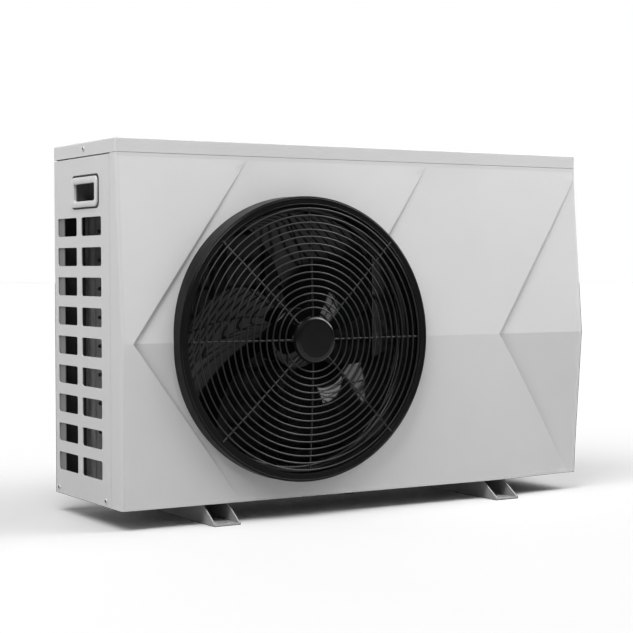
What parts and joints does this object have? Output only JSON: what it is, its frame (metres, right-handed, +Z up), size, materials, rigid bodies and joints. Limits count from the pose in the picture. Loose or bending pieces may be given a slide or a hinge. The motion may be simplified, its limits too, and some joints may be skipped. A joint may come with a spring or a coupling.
{
  "type": "pool heat pump unit",
  "caption": "Outdoor heat pump cabinet with a faceted front, a front axial fan behind a ring guard, side vents, recessed grips, two rail feet and side water unions.",
  "frame": {"origin": "bottom centre of the bounding box, on the ground under the rails", "axes": "+X along the width towards the water unions, +Y to the back, +Z up; the fan faces -Y"},
  "size_m": [1.006, 0.3686, 0.633],
  "materials": {
    "black_gloss": "black moulded, glossy",
    "black_paint": "black paint",
    "black_satin": "black moulded, satin",
    "board_green": "lacquered board",
    "brass_fitting": "brass",
    "cabinet_paint": "light grey powder coat, fine texture",
    "copper": "copper tube",
    "fin_stock": "dark coated fins",
    "foam": "black foam",
    "front_skin": "light grey moulded panels, satin",
    "galvanised": "galvanised sheet",
    "grip_grey": "light grey moulded, satin",
    "guard_wire": "black epoxy coated wire",
    "pvc_grey": "dark grey moulded fitting",
    "rail_grey": "mid grey painted steel",
    "raw_aluminium": "extruded",
    "rubber_black": "black rubber",
    "terminal_white": "off-white moulded",
    "titanium": "titanium tube",
    "zinc_steel": "zinc plated"
  },
  "bodies": {
    "cabinet": {"accumulator": "black_paint", "base_pan": "galvanised", "cable_glands": "black_satin", "coil_foam_seal": "foam", "compressor_bolts": "zinc_steel", "compressor_grommets": "rubber_black", "compressor_inlet_pipe": "copper", "compressor_shell": "black_paint", "control_board": "board_green", "discharge_pipe": "copper", "drain_spigot": "black_satin", "electrical_box": "galvanised", "electrical_box_lid": "galvanised", "evaporator_fins": "fin_stock", "evaporator_gas_pipe": "copper", "evaporator_headers": "copper", "evaporator_plate_left": "galvanised", "evaporator_plate_right": "galvanised", "evaporator_tubes": "copper", "exchanger_gas_pipe": "copper", "exchanger_shell": "pvc_grey", "expansion_valve": "brass_fitting", "fan_bezel": "black_gloss", "fan_motor": "black_paint", "fan_shroud": "black_gloss", "flow_switch": "black_satin", "foot_bolts": "zinc_steel", "foot_left": "rail_grey", "foot_right": "rail_grey", "four_way_valve": "brass_fitting", "front_panel": "front_skin", "guard_cap": "black_gloss", "handle_cup_left": "grip_grey", "handle_cup_right": "grip_grey", "heat_sink": "raw_aluminium", "left_side_panel": "cabinet_paint", "lid_screws": "zinc_steel", "liquid_pipes": "copper", "motor_bracket": "black_paint", "motor_screws": "zinc_steel", "panel_screws": "zinc_steel", "partition_panel": "galvanised", "rear_corner_post": "galvanised", "rear_guard": "guard_wire", "rear_panel": "cabinet_paint", "right_side_panel": "cabinet_paint", "suction_pipe": "copper", "terminal_block": "terminal_white", "titanium_coil": "titanium", "top_cover": "cabinet_paint", "water_inlet": "pvc_grey", "water_outlet": "pvc_grey", "wire_guard": "guard_wire", "wiring_cover": "grip_grey", "wiring_cover_screws": "zinc_steel"},
    "fan_rotor": {"fan_blades": "black_gloss", "fan_nut": "zinc_steel", "fan_shaft": "zinc_steel"},
    "inlet_union": {"inlet_union_nut": "pvc_grey"},
    "outlet_union": {"outlet_union_nut": "pvc_grey"}
  },
  "joints": [
    {"name": "fan_spin", "type": "hinge", "parent": "cabinet", "child": "fan_rotor", "pos_m": [-0.1681, -0.09565, 0.302], "axis": [0, 1, 0], "continuous": true},
    {"name": "inlet_union_turn", "type": "hinge", "parent": "cabinet", "child": "inlet_union", "pos_m": [0.473, 0.03435, 0.138], "axis": [1, 0, 0], "continuous": true},
    {"name": "outlet_union_turn", "type": "hinge", "parent": "cabinet", "child": "outlet_union", "pos_m": [0.473, 0.03435, 0.378], "axis": [1, 0, 0], "continuous": true}
  ]
}
